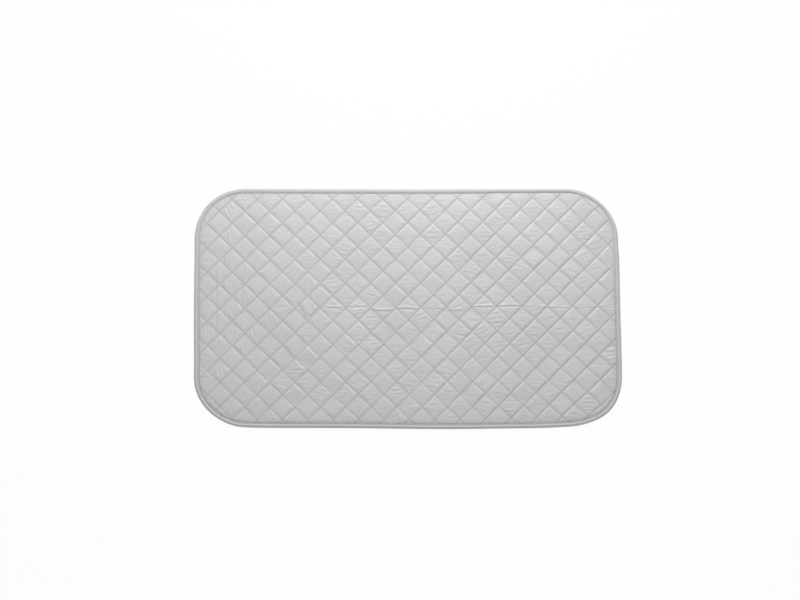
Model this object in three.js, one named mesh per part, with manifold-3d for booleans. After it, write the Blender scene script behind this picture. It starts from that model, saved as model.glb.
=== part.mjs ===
// A quilted ironing pad. A silver-coated cover, wadding and a cotton backing are sewn together along
// two families of slanting seams, which leave diamonds of padding between them, and a tape is folded
// round the edge and sewn down. The pad folds in half at a crease across its middle, so each layer is
// made whole and then divided there into a rear panel and a front panel.
// Millimetres, +Z up. The origin is the middle of the pad on the surface that it lies on,
// +X runs along its length and +Y towards its rear edge.

import * as THREE from "three";
import { mergeVertices } from "three/addons/utils/BufferGeometryUtils.js";
import Module from "manifold-3d";

// Driving dimensions: the plan
const LENGTH = 850;
const DEPTH = 480;
const CORNER_RADIUS = 104;
const CORNER_STEPS = 10;

// Driving dimensions: the layers, from the bottom up
const TAPE_THICKNESS = 0.5;
const TAPE_WIDTH = 10;
const BACKING_THICKNESS = 0.4;
const WADDING_AT_EDGE = 0.4;
const COVER_THICKNESS = 0.4;
const LAYER_GAP = 0.2;

// Driving dimensions: the quilting
const SEAM_SPACING = 35.1;
const RISING_ANGLE = 44.9;
const RISING_OFFSET = 14.7;
const FALLING_ANGLE = -43.8;
const FALLING_OFFSET = -15.7;
const PUFF_RISE = 3.4;
const EDGE_RAMP = 12;
const EDGE_PRESS = 0.1;
const BACKING_STEP_RUN = 3;

// Driving dimensions: the threads and the crease
const THREAD_WIDTH = 0.6;
const THREAD_THICKNESS = 0.3;
const THREAD_GAP = 0.15;
const THREAD_END_MARGIN = 2.2;
const THREAD_END_SPACING = 2;
const TAPE_SEAM_MARGIN = 2;
const CREASE_GAP = 0.6;
const TAPE_BEND_STEPS = 6;

// Heights that follow from the stack of layers under the tape
const backingAtEdge = TAPE_THICKNESS + LAYER_GAP;
const waddingAtEdge = backingAtEdge + BACKING_THICKNESS + LAYER_GAP;
const coverAtEdge = waddingAtEdge + WADDING_AT_EDGE + LAYER_GAP;
const coverTopAtEdge = coverAtEdge + COVER_THICKNESS;
const seamTop = coverTopAtEdge + EDGE_PRESS;
const crownTop = seamTop + PUFF_RISE;
const fallingThreadBottom = seamTop + LAYER_GAP;
const risingThreadBottom = fallingThreadBottom + THREAD_THICKNESS + THREAD_GAP;
const tapeTopUnderside = risingThreadBottom + THREAD_THICKNESS + LAYER_GAP;
const tapeTop = tapeTopUnderside + TAPE_THICKNESS;
const tapeSeamBottom = tapeTop + THREAD_GAP;
const threadEndSwell = THREAD_GAP / 3;

// Insets from the pad's outer edge
const tapeBendRadius = tapeTop / 2;
const layerInset = tapeBendRadius + LAYER_GAP;
const fieldInset = TAPE_WIDTH + LAYER_GAP;
const risingThreadInset = layerInset + THREAD_END_MARGIN;
const fallingThreadInset = risingThreadInset + THREAD_END_SPACING;
const tapeSeamInset = TAPE_WIDTH - TAPE_SEAM_MARGIN;

// Reaches of cutting shapes, which only have to clear the pad
const cutterInset = layerInset / 2;
const farBelow = -crownTop;
const farReach = Math.hypot(LENGTH, DEPTH) / 2 + SEAM_SPACING;

const wasm = await Module();
wasm.setup();

// A closed mesh as a solid that can be joined and cut.
function solidOf(geometry) {
  const bare = geometry.clone();
  bare.deleteAttribute("normal");
  bare.deleteAttribute("uv");
  const merged = mergeVertices(bare);
  return new wasm.Manifold(
    new wasm.Mesh({
      numProp: 3,
      vertProperties: merged.getAttribute("position").array,
      triVerts: new Uint32Array(merged.index.array),
    }),
  );
}

function solidFromFaces(points, faces) {
  const geometry = new THREE.BufferGeometry();
  geometry.setAttribute("position", new THREE.Float32BufferAttribute(points.flat(), 3));
  geometry.setIndex(faces);
  return solidOf(geometry);
}

// The pad's rounded outline, moved in from the outer edge, counter-clockwise seen from above.
function outline(inset) {
  const radius = CORNER_RADIUS - inset;
  const points = [];
  for (const [quarter, sideX, sideY] of [[0, 1, 1], [1, -1, 1], [2, -1, -1], [3, 1, -1]]) {
    for (let step = 0; step <= CORNER_STEPS; step += 1) {
      const angle = (quarter + step / CORNER_STEPS) * (Math.PI / 2);
      points.push([
        sideX * (LENGTH / 2 - CORNER_RADIUS) + radius * Math.cos(angle),
        sideY * (DEPTH / 2 - CORNER_RADIUS) + radius * Math.sin(angle),
      ]);
    }
  }
  return points;
}

// A skin through outlines at the given insets and heights, from the underside outwards, up and over.
// A ring joins the last outline to the first. Otherwise the first and the last are closed by flat ends.
function loft(profile, { ring = false } = {}) {
  const count = outline(0).length;
  const points = profile.flatMap(([inset, z]) => outline(inset).map(([x, y]) => [x, y, z]));
  const faces = [];
  for (let band = 0; band < profile.length - (ring ? 0 : 1); band += 1) {
    const first = band * count;
    const second = ((band + 1) % profile.length) * count;
    for (let i = 0; i < count; i += 1) {
      const next = (i + 1) % count;
      faces.push(first + i, first + next, second + next);
      faces.push(first + i, second + next, second + i);
    }
  }
  const lastRing = (profile.length - 1) * count;
  for (let i = 1; i < count - 1 && !ring; i += 1) {
    faces.push(0, i + 1, i);
    faces.push(lastRing, lastRing + i, lastRing + i + 1);
  }
  return solidFromFaces(points, faces);
}

// The seams of one family are parallel lines, numbered from the one nearest the middle of the pad.
function seamFamily(angleInDegrees, offset) {
  const angle = THREE.MathUtils.degToRad(angleInDegrees);
  return {
    angle,
    across: [-Math.sin(angle), Math.cos(angle)],
    distance: (number) => offset + number * SEAM_SPACING,
  };
}

const rising = seamFamily(RISING_ANGLE, RISING_OFFSET);
const falling = seamFamily(FALLING_ANGLE, FALLING_OFFSET);
const outermostSeam = Math.ceil(farReach / SEAM_SPACING);

function seamCrossing(risingNumber, fallingNumber) {
  const [ax, ay] = rising.across;
  const [bx, by] = falling.across;
  const a = rising.distance(risingNumber);
  const b = falling.distance(fallingNumber);
  const scale = ax * by - ay * bx;
  return [(a * by - b * ay) / scale, (b * ax - a * bx) / scale];
}

// A sheet of sewn diamonds that reaches past the pad on every side: a pyramid in each diamond.
function quiltedSheet(seamZ, peakZ, bottomZ) {
  const last = 2 * outermostSeam - 1;
  const points = [];
  for (let i = 0; i <= last; i += 1) {
    for (let j = 0; j <= last; j += 1) {
      const corners = [[i, j], [i, j + 1], [i + 1, j + 1], [i + 1, j]].map(([m, n]) =>
        seamCrossing(m - outermostSeam, n - outermostSeam),
      );
      const top = corners.map(([x, y]) => [x, y, seamZ]);
      const bottom = corners.map(([x, y]) => [x, y, bottomZ]);
      const peak = [(top[0][0] + top[2][0]) / 2, (top[0][1] + top[2][1]) / 2, peakZ];
      const onRim = [i === 0, j === last, i === last, j === 0];
      onRim.forEach((wall, k) => {
        const next = (k + 1) % onRim.length;
        points.push(top[k], top[next], peak);
        if (wall) {
          points.push(bottom[k], bottom[next], top[next], bottom[k], top[next], top[k]);
        }
      });
      points.push(bottom[0], bottom[2], bottom[1], bottom[0], bottom[3], bottom[2]);
    }
  }
  return solidFromFaces(points, [...points.keys()]);
}

// Everything under the quilted top, lowered by a drop: flat under the tape, then up a ramp.
function mound(outerInset, drop, bottomZ) {
  const roof = loft([
    [outerInset, bottomZ],
    [outerInset, coverTopAtEdge - drop],
    [fieldInset, coverTopAtEdge - drop],
    [fieldInset + EDGE_RAMP, crownTop + EDGE_PRESS - drop],
  ]);
  return quiltedSheet(seamTop - drop, crownTop - drop, bottomZ).intersect(roof);
}

// The cover is one cloth of even thickness over the whole pad.
function topCover() {
  return mound(layerInset, 0, 0).subtract(mound(cutterInset, COVER_THICKNESS, farBelow));
}

// Everything under the flat backing, raised by a lift: level inside, then a step up over the tape.
function tray(outerInset, lift) {
  return loft([
    [outerInset, farBelow],
    [outerInset, backingAtEdge + lift],
    [fieldInset, backingAtEdge + lift],
    [fieldInset + BACKING_STEP_RUN, lift],
  ]);
}

// The wadding fills the space between the cover and the backing.
function wadding() {
  const filling = mound(layerInset, COVER_THICKNESS + LAYER_GAP, 0);
  return filling.subtract(tray(cutterInset, BACKING_THICKNESS + LAYER_GAP));
}

// The backing is flat on the table and steps up over the lower leaf of the tape.
function backing() {
  return tray(layerInset, BACKING_THICKNESS).subtract(tray(cutterInset, 0));
}

// The tape lies on the top of the edge, round it and under it: a lower leaf, a bend and an upper leaf.
function edgeBinding() {
  const bend = (radius, turn) =>
    Array.from({ length: TAPE_BEND_STEPS + 1 }, (_, step) => {
      const angle = turn * Math.PI * (step / TAPE_BEND_STEPS - 0.5);
      return [tapeBendRadius - radius * Math.cos(angle), tapeBendRadius + radius * Math.sin(angle)];
    });
  return loft(
    [
      [TAPE_WIDTH, 0],
      ...bend(tapeBendRadius, 1),
      [TAPE_WIDTH, tapeTop],
      [TAPE_WIDTH, tapeTopUnderside],
      ...bend(tapeBendRadius - TAPE_THICKNESS, -1),
      [TAPE_WIDTH, TAPE_THICKNESS],
    ],
    { ring: true },
  );
}

// A flat run of thread that follows the pad's edge all the way round.
function threadRing(inset, bottomZ, topZ) {
  const inner = inset + THREAD_WIDTH / 2;
  const outer = inset - THREAD_WIDTH / 2;
  return loft([[inner, bottomZ], [outer, bottomZ], [outer, topZ], [inner, topZ]], { ring: true });
}

// The thread of one seam family: a run along each seam, caught by a run round the edge under the tape.
function quiltingThread(family, inset, bottomZ) {
  const topZ = bottomZ + THREAD_THICKNESS;
  const runs = [];
  for (let number = -outermostSeam; number <= outermostSeam; number += 1) {
    const run = new THREE.BoxGeometry(2 * farReach, THREAD_WIDTH, THREAD_THICKNESS);
    run.rotateZ(family.angle);
    const distance = family.distance(number);
    run.translate(distance * family.across[0], distance * family.across[1], (bottomZ + topZ) / 2);
    runs.push(solidOf(run));
  }
  const low = bottomZ - threadEndSwell;
  const high = topZ + threadEndSwell;
  const ends = loft([[inset, low], [inset, high]]);
  return wasm.Manifold.union(runs).intersect(ends).add(threadRing(inset, low, high));
}

// One side of the crease, as a block that holds everything on that side.
function panelBlock(sideY) {
  const block = new THREE.BoxGeometry(2 * farReach, farReach, 2 * farReach);
  block.translate(0, (sideY * (farReach + CREASE_GAP)) / 2, 0);
  return solidOf(block);
}

function meshOf(name, solid, material) {
  const { vertProperties, triVerts } = solid.getMesh();
  const geometry = new THREE.BufferGeometry();
  geometry.setAttribute("position", new THREE.BufferAttribute(vertProperties, 3));
  geometry.setIndex(new THREE.BufferAttribute(triVerts, 1));
  geometry.computeVertexNormals();
  const mesh = new THREE.Mesh(geometry, material);
  mesh.name = name;
  return mesh;
}

function cloth(color, roughness, metalness = 0) {
  return new THREE.MeshStandardMaterial({ color, roughness, metalness, flatShading: true });
}

const silverCloth = cloth(0xc6c6c7, 0.42, 0.35);
const whiteFibre = cloth(0xefede6, 0.95);
const greyCotton = cloth(0xb9babc, 0.9);
const greyTape = cloth(0xbdbdbf, 0.6);
const greyThread = cloth(0xa2a2a4, 0.65);

const fallingThread = quiltingThread(falling, fallingThreadInset, fallingThreadBottom);
const risingThread = quiltingThread(rising, risingThreadInset, risingThreadBottom);
const tapeSeamThread = threadRing(tapeSeamInset, tapeSeamBottom, tapeSeamBottom + THREAD_THICKNESS);

const pieces = [
  ["backing", backing(), greyCotton],
  ["wadding", wadding(), whiteFibre],
  ["top_cover", topCover(), silverCloth],
  ["quilting_thread_falling", fallingThread, greyThread],
  ["quilting_thread_rising", risingThread, greyThread],
  ["edge_binding", edgeBinding(), greyTape],
  ["binding_thread", tapeSeamThread, greyThread],
];

const pad = new THREE.Group();
for (const [side, sideY] of [["rear", 1], ["front", -1]]) {
  const panel = new THREE.Group();
  const block = panelBlock(sideY);
  for (const [name, solid, material] of pieces) {
    panel.add(meshOf(`${name}_${side}`, solid.intersect(block), material));
  }
  pad.add(panel);
}

export default pad;
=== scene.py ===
import math

import bmesh
import bpy
import numpy as np
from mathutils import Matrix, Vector


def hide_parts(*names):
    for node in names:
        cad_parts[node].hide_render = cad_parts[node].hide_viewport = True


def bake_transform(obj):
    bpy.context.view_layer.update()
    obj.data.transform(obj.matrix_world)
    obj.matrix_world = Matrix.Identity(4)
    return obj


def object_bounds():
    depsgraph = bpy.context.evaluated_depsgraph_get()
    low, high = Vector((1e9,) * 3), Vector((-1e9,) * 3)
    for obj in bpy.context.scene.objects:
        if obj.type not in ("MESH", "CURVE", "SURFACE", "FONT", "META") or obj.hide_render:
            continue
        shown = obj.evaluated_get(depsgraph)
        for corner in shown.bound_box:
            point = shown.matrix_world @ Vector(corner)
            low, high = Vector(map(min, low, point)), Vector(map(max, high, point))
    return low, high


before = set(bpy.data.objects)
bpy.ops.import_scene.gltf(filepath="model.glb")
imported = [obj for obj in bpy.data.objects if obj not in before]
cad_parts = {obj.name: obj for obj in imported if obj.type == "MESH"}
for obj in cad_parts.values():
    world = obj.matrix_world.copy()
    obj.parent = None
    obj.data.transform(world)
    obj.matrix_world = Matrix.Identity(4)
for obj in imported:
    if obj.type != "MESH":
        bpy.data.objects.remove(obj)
cad_low, cad_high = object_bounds()


# The table, the light and the camera.
# The pad lies on a white table that runs out of the picture, in even white light from all round. A soft lamp
# beyond its rear edge draws out the puffs. The camera hangs almost straight above, a little to the front.
WHITE = (1, 1, 1, 1)
TABLE_HALF_WIDTH = 8.0
TABLE_DROP = 0.0004
TABLE_COLOUR = (0.75, 0.75, 0.75, 1)
TABLE_WHITENESS = 0.95
FILL_STRENGTH = 0.63
LAMP_PLACE = Vector((0.05, 1.15, 0.95))
LAMP_SIZE = (0.90, 0.35)
LAMP_POWER = 14.2
CAMERA_DISTANCE = 3.14
CAMERA_TILT = math.radians(7.0)
CAMERA_LENS = 70.97
CAMERA_SHIFT = (-0.0085, 0.0092)


def place(tree, kind, inputs=None, **settings):
    """One node with its settings and inputs; an input given as another node's output is linked to it."""
    made = tree.nodes.new(kind)
    for name, value in settings.items():
        setattr(made, name, value)
    for name, value in (inputs or {}).items():
        if isinstance(value, bpy.types.NodeSocket):
            tree.links.new(value, made.inputs[name])
        else:
            made.inputs[name].default_value = value
    return made


def math_node(tree, operation, *values):
    """The result of one sum on sockets or plain numbers."""
    return place(tree, "ShaderNodeMath", dict(enumerate(values)), operation=operation).outputs[0]


def seen_directly(tree):
    """1 for rays that show the surroundings as they are: the camera's, and those in gloss and glass."""
    path = place(tree, "ShaderNodeLightPath")
    mirrored = math_node(tree, "MAXIMUM", path.outputs["Is Glossy Ray"], path.outputs["Is Transmission Ray"])
    return math_node(tree, "MAXIMUM", path.outputs["Is Camera Ray"], mirrored)


def fresh_material(name):
    """A material with an empty node tree."""
    made = bpy.data.materials.new(name)
    made.use_nodes = True
    made.node_tree.nodes.clear()
    return made


def added(name, data):
    """A new object in the scene, made from a mesh, a light or a camera."""
    thing = bpy.data.objects.new(name, data)
    scene.collection.objects.link(thing)
    return thing


scene = bpy.context.scene
scene.view_settings.view_transform = "Standard"

studio = bpy.data.worlds.new("studio")
studio.use_nodes = True
studio.node_tree.nodes.clear()
extra_white = math_node(studio.node_tree, "MULTIPLY", seen_directly(studio.node_tree), 1 - FILL_STRENGTH)
sky_strength = math_node(studio.node_tree, "ADD", extra_white, FILL_STRENGTH)
sky = place(studio.node_tree, "ShaderNodeBackground", {"Color": WHITE, "Strength": sky_strength})
place(studio.node_tree, "ShaderNodeOutputWorld", {"Surface": sky.outputs[0]})
scene.world = studio

table_white = fresh_material("table_white")
tree = table_white.node_tree
table_paint = place(tree, "ShaderNodeBsdfDiffuse", {"Color": TABLE_COLOUR})
table_glow = place(tree, "ShaderNodeEmission", {"Color": WHITE, "Strength": 1.0})
whiteness = math_node(tree, "MULTIPLY", seen_directly(tree), TABLE_WHITENESS)
table_mix = place(
    tree,
    "ShaderNodeMixShader",
    {0: whiteness, 1: table_paint.outputs[0], 2: table_glow.outputs[0]},
)
place(tree, "ShaderNodeOutputMaterial", {"Surface": table_mix.outputs[0]})

table_mesh = bpy.data.meshes.new("table")
corners = [(-1, -1), (1, -1), (1, 1), (-1, 1)]
table_mesh.from_pydata(
    [(x * TABLE_HALF_WIDTH, y * TABLE_HALF_WIDTH, -TABLE_DROP) for x, y in corners], [], [(0, 1, 2, 3)]
)
table_mesh.materials.append(table_white)
table = added("table", table_mesh)

lamp_light = bpy.data.lights.new("rear_lamp", "AREA")
lamp_light.shape = "RECTANGLE"
lamp_light.size, lamp_light.size_y = LAMP_SIZE
lamp_light.energy = LAMP_POWER
lamp = added("rear_lamp", lamp_light)
lamp.location = LAMP_PLACE
lamp.rotation_euler = (-LAMP_PLACE).to_track_quat("-Z", "Y").to_euler()

camera_data = bpy.data.cameras.new("camera")
camera_data.lens = CAMERA_LENS
camera_data.shift_x, camera_data.shift_y = CAMERA_SHIFT
camera = added("camera", camera_data)
camera.location = (0, -CAMERA_DISTANCE * math.sin(CAMERA_TILT), CAMERA_DISTANCE * math.cos(CAMERA_TILT))
camera.rotation_euler = (CAMERA_TILT, 0, 0)
scene.camera = camera


# Backing cloth.
# A piece of plain-weave grey cotton, cut to the pad's outline, that lies on the table and holds the wadding.
# Each seam draws it up into a shallow channel, and its rim is caught above the lower half of the edge tape.
MM = 0.001
half_length = (cad_high.x - cad_low.x) / 2
half_depth = (cad_high.y - cad_low.y) / 2
CORNER_RADIUS = 104 * MM
SEAM_SPACING = 35.1 * MM
RISING_ANGLE = math.radians(44.9)
RISING_OFFSET = 14.7 * MM
FALLING_ANGLE = math.radians(-43.8)
FALLING_OFFSET = -15.7 * MM
STITCH_PITCH = 3.6 * MM
RIM_INSET = 4.5 * MM
RIM_MERGE = 0.4 * MM
SLIVER = 0.05 * MM
BACKING_STEPS = (0, 0.06, 0.16, 0.34, 0.66, 0.84, 0.94)
BACKING_THICKNESS = 0.3 * MM
CHANNEL_HEIGHT = 0.55 * MM
CHANNEL_HALF_WIDTH = 2.4 * MM
BACKING_RIM_LIFT = 0.48 * MM
TAPE_CLEARANCE = (10.8 * MM, 15 * MM)
FOLD_BEND = 6 * MM
FOLD_CUTS = 17
ON_CUT_LINE = 1e-6
COTTON_PUCKER = 0.8
COTTON_RELIEF = 0.12 * MM
BACKING_COLOUR = (0.49, 0.49, 0.50)


def inset_at(x, y):
    """How far in from the pad's outline each point lies."""
    across = np.abs(x) - (half_length - CORNER_RADIUS)
    along = np.abs(y) - (half_depth - CORNER_RADIUS)
    beyond = np.hypot(np.maximum(across, 0), np.maximum(along, 0))
    return CORNER_RADIUS - beyond - np.minimum(np.maximum(across, along), 0)


def seam_crossing(rising, falling):
    """Where a rising line and a falling line cross; both are counted in seams."""
    rising_offset = RISING_OFFSET + rising * SEAM_SPACING
    falling_offset = FALLING_OFFSET + falling * SEAM_SPACING
    turn = math.sin(FALLING_ANGLE - RISING_ANGLE)
    x = (rising_offset * math.cos(FALLING_ANGLE) - falling_offset * math.cos(RISING_ANGLE)) / turn
    y = (rising_offset * math.sin(FALLING_ANGLE) - falling_offset * math.sin(RISING_ANGLE)) / turn
    return x, y


def seam_marks(x, y):
    """Which rising and which falling line pass through each point, counted in seams."""
    rising = (y * math.cos(RISING_ANGLE) - x * math.sin(RISING_ANGLE) - RISING_OFFSET) / SEAM_SPACING
    falling = (y * math.cos(FALLING_ANGLE) - x * math.sin(FALLING_ANGLE) - FALLING_OFFSET) / SEAM_SPACING
    return rising, falling


def smooth_step(value, start, end):
    """0 before start, 1 after end, and a soft curve between them."""
    share = np.clip((value - start) / (end - start), 0, 1)
    return share * share * (3 - 2 * share)


def quilt_lattice(steps, rim_inset):
    """Points of a cloth on lines along both seam directions, and the faces between them, out to its rim."""
    seams = int(math.hypot(half_length, half_depth) / SEAM_SPACING) + 1
    marks = (np.arange(-seams, seams + 1)[:, None] + np.asarray(steps)[None, :]).ravel()
    rising, falling = np.meshgrid(marks, marks, indexing="ij")
    x, y = seam_crossing(rising, falling)
    kept = inset_at(x, y) >= rim_inset
    whole = kept[:-1, :-1] & kept[1:, :-1] & kept[1:, 1:] & kept[:-1, 1:]
    number = np.arange(x.size).reshape(x.shape)
    corners = (number[:-1, :-1], number[:-1, 1:], number[1:, 1:], number[1:, :-1])
    used, faces = np.unique(np.stack([corner[whole] for corner in corners], axis=1), return_inverse=True)
    return {
        "x": x.ravel()[used],
        "y": y.ravel()[used],
        "rising": rising.ravel()[used],
        "falling": falling.ravel()[used],
        "faces": faces.reshape(-1, 4),
        "used": used,
        "marks": marks,
    }


def seam_distance(marks):
    """Distance from the nearest seam of one family, for places counted in seams."""
    return np.abs(marks - np.round(marks)) * SEAM_SPACING


def nearest_seam(rising, falling):
    """Distance from the nearest seam of either family, for places counted in seams."""
    return np.minimum(seam_distance(rising), seam_distance(falling))


def backing_underside(lattice):
    """How high the backing stands off the table: in a channel at each seam, and on the tape at its rim."""
    to_seam = nearest_seam(lattice["rising"], lattice["falling"])
    channel = CHANNEL_HEIGHT * np.exp(-((to_seam / CHANNEL_HALF_WIDTH) ** 2))
    rim = 1 - smooth_step(inset_at(lattice["x"], lattice["y"]), *TAPE_CLEARANCE)
    return np.maximum(channel, BACKING_RIM_LIFT * rim)


def at_heights(lattice, heights):
    """The points of a lattice at the given heights, one row each."""
    return np.stack([lattice["x"], lattice["y"], heights], axis=1)


def evaluated_mesh(thing):
    """The object's shape with its modifiers, as a plain mesh."""
    graph = bpy.context.evaluated_depsgraph_get()
    return bpy.data.meshes.new_from_object(thing.evaluated_get(graph))


def settle_modifiers(thing):
    """Turns the object's modifiers into its own mesh."""
    finished = evaluated_mesh(thing)
    thing.modifiers.clear()
    thing.data = finished


def rim_pulled_out(mesh):
    """Moves the stepped rim of a lattice cloth out to one smooth line."""
    shape = bmesh.new()
    shape.from_mesh(mesh)
    core_x = half_length - CORNER_RADIUS
    core_y = half_depth - CORNER_RADIUS
    reach = CORNER_RADIUS - RIM_INSET
    for point in shape.verts:
        if not point.is_boundary:
            continue
        x, y, z = point.co
        core = Vector((min(max(x, -core_x), core_x), min(max(y, -core_y), core_y), z))
        off = point.co - core
        if off.x != 0 and off.y != 0:
            point.co = core + off.normalized() * reach
        elif off.x != 0:
            point.co.x = core.x + math.copysign(reach, off.x)
        else:
            point.co.y = core.y + math.copysign(reach, off.y)
    rim = [point for point in shape.verts if point.is_boundary]
    bmesh.ops.remove_doubles(shape, verts=rim, dist=RIM_MERGE)
    bmesh.ops.dissolve_degenerate(shape, dist=SLIVER, edges=shape.edges[:])
    shape.to_mesh(mesh)
    shape.free()


def mesh_points(mesh):
    """The places of a mesh's points, one row each."""
    points = np.empty(len(mesh.vertices) * 3, np.float32)
    mesh.vertices.foreach_get("co", points)
    return points.reshape(-1, 3).astype(float)


def points_moved(mesh, points):
    """Puts a mesh's points at new places."""
    mesh.vertices.foreach_set("co", points.astype(np.float32).ravel())
    mesh.update()


def cut_at_fold(mesh):
    """Cuts a cloth along lines beside the middle crease, the same for all layers, so that they bend alike."""
    shape = bmesh.new()
    shape.from_mesh(mesh)
    for y in np.linspace(-FOLD_BEND, FOLD_BEND, FOLD_CUTS):
        bmesh.ops.bisect_plane(
            shape,
            geom=shape.verts[:] + shape.edges[:] + shape.faces[:],
            dist=ON_CUT_LINE,
            plane_co=(0, y, 0),
            plane_no=(0, 1, 0),
        )
    shape.to_mesh(mesh)
    shape.free()


def lattice_mesh(name, lattice, points, reaches_tape=True):
    """A cloth face from lattice points, with its cut laid out in one UV map and its seams in another."""
    mesh = bpy.data.meshes.new(name)
    mesh.from_pydata(points.tolist(), [], lattice["faces"].tolist())
    corner_points = np.empty(len(mesh.loops), np.int32)
    mesh.loops.foreach_get("vertex_index", corner_points)
    cut = np.stack([lattice["x"] / (2 * half_length) + 0.5, lattice["y"] / (2 * half_depth) + 0.5], axis=1)
    seams = np.stack([lattice["rising"], lattice["falling"]], axis=1)
    for layer, values in (("cut", cut), ("seams", seams)):
        corner_values = values[corner_points].astype(np.float32)
        mesh.uv_layers.new(name=layer).data.foreach_set("uv", corner_values.ravel())
    if reaches_tape:
        rim_pulled_out(mesh)
    cut_at_fold(mesh)
    mesh.shade_smooth()
    return mesh


def given_thickness(thing, thickness):
    """Gives the cloth its thickness, below the face that is modelled, and closes its rim."""
    wall = thing.modifiers.new("thickness", "SOLIDIFY")
    wall.thickness = thickness
    wall.offset = -1
    wall.use_even_offset = False
    settle_modifiers(thing)


# Where the soft pad lies a little off its pattern, in mm: the place, how far it moves, and how wide the pull
# reaches.
PAD_PULLS = (
    (0, 240, 0, -1.0, 170),
    (75, -240, 0, -2.2, 100),
    (350, -236, -1.0, 3.6, 40),
    (395, -200, 2.4, -2.4, 32),
    (-395, 210, -1.6, 1.6, 40),
    (392, 208, -1.6, -1.6, 40),
    (-380, -225, 1.8, 3.2, 45),
    (-425, -125, 2.4, 0, 60),
    (-425, 0, 0.6, 0, 150),
    (425, -110, 1.5, 0, 60),
    (425, 140, -1.8, 0, 25),
)


def lies_on_table(thing):
    """Moves every point of a piece as the soft pad was pulled when it was laid out."""
    points = mesh_points(thing.data)
    flat = points[:, :2] / MM
    for x, y, move_x, move_y, reach in PAD_PULLS:
        share = np.exp(-((flat[:, 0] - x) ** 2 + (flat[:, 1] - y) ** 2) / (2 * reach * reach))
        points[:, 0] += share * move_x * MM
        points[:, 1] += share * move_y * MM
    points_moved(thing.data, points)


def dressed(thing, material, slot, *nodes):
    """Gives a finished piece its material, lays it as the pad was pulled, and hides the solids that it stands
    for.
    """
    lies_on_table(thing)
    thing.data.materials.clear()
    thing.data.materials.append(material)
    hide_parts(*nodes)
    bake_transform(thing)


def node_group(name, kind, inputs, outputs):
    """A new node group with named inputs and outputs, each with its kind of socket."""
    group = bpy.data.node_groups.new(name, kind)
    for way, sockets in (("INPUT", inputs), ("OUTPUT", outputs)):
        for socket, value in sockets.items():
            group.interface.new_socket(socket, in_out=way, socket_type="NodeSocket" + value)
    return group


def noise(tree, where, scale, detail, roughness=0.5):
    """A soft uneven pattern, from 0 to 1."""
    inputs = {"Vector": where, "Scale": scale, "Detail": detail, "Roughness": roughness}
    return place(tree, "ShaderNodeTexNoise", inputs).outputs[0]


def weave_group():
    """A plain weave: each thread's rounded height, which threads lie on top, and slubs along them."""
    group = node_group(
        "plain_weave",
        "ShaderNodeTree",
        {"Cloth Place": "Vector", "Threads per Metre": "Float", "Slub": "Float"},
        {"Height": "Float", "Shade": "Float"},
    )
    given = place(group, "NodeGroupInput")
    where, threads = given.outputs["Cloth Place"], given.outputs["Threads per Metre"]
    scaled = place(group, "ShaderNodeVectorMath", {0: where, "Scale": threads}, operation="SCALE")
    split = place(group, "ShaderNodeSeparateXYZ", {0: scaled.outputs[0]})
    round_tops, numbers = [], []
    for way in split.outputs[:2]:
        wave = math_node(group, "SINE", math_node(group, "MULTIPLY", way, math.pi))
        round_tops.append(math_node(group, "ABSOLUTE", wave))
        numbers.append(math_node(group, "FLOOR", way))
    over = math_node(group, "PINGPONG", math_node(group, "ADD", *numbers), 1.0)
    warp, weft = round_tops
    height = place(group, "ShaderNodeMix", {0: over, 2: warp, 3: weft}, data_type="FLOAT").outputs[0]
    slub = noise(group, where, scale=160.0, detail=3.0, roughness=0.6)
    uneven = math_node(group, "SUBTRACT", slub, 0.5)
    uneven = math_node(group, "MULTIPLY", uneven, given.outputs["Slub"])
    # Used as colour, the height is painted shade, darker between the threads and lighter on their tops; the
    # slubs add the yarn's own uneven tone.
    shade = math_node(group, "ADD", height, uneven)
    place(group, "NodeGroupOutput", {0: height, 1: shade})
    return group


def cloth_place(tree):
    """The place on the cut cloth, in metres."""
    cut = place(tree, "ShaderNodeUVMap", uv_map="cut")
    size = (2 * half_length, 2 * half_depth, 1)
    return place(tree, "ShaderNodeMapping", {0: cut.outputs[0], "Scale": size}).outputs[0]


def pucker_group():
    """The cloth beside a row of stitches: how near the seam is, and the puckers that the stitches pull up."""
    group = node_group(
        "seam_pucker",
        "ShaderNodeTree",
        {"Seams": "Vector", "Stitches per Seam Spacing": "Float", "Reach": "Float"},
        {"Rising Nearness": "Float", "Falling Nearness": "Float", "Pucker": "Float"},
    )
    given = place(group, "NodeGroupInput")
    split = place(group, "ShaderNodeSeparateXYZ", {0: given.outputs["Seams"]})
    near, wave = [], []
    for here, along in ((0, 1), (1, 0)):
        off = math_node(group, "ABSOLUTE", math_node(group, "WRAP", split.outputs[here], 0.5, -0.5))
        fall = math_node(group, "DIVIDE", off, given.outputs["Reach"])
        near.append(math_node(group, "EXPONENT", math_node(group, "MULTIPLY", fall, -1.0)))
        turn = math_node(group, "MULTIPLY", split.outputs[along], given.outputs["Stitches per Seam Spacing"])
        ripple = math_node(group, "SINE", math_node(group, "MULTIPLY", turn, 2 * math.pi))
        wave.append(math_node(group, "MULTIPLY", ripple, near[-1]))
    place(group, "NodeGroupOutput", {0: near[0], 1: near[1], 2: math_node(group, "ADD", *wave)})
    return group


plain_weave = weave_group()
seam_pucker = pucker_group()


def woven(tree, where, threads, slub):
    """A plain weave on a cloth: how many threads it has in a metre, and how uneven they are."""
    return place(
        tree,
        "ShaderNodeGroup",
        {"Cloth Place": where, "Threads per Metre": threads, "Slub": slub},
        node_tree=plain_weave,
    )


def puckered(tree, reach):
    """The puckers beside the seams of a quilted cloth; their reach is counted in seams."""
    seams = place(tree, "ShaderNodeUVMap", uv_map="seams")
    return place(
        tree,
        "ShaderNodeGroup",
        {"Seams": seams.outputs[0], "Stitches per Seam Spacing": SEAM_SPACING / STITCH_PITCH, "Reach": reach},
        node_tree=seam_pucker,
    )


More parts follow.
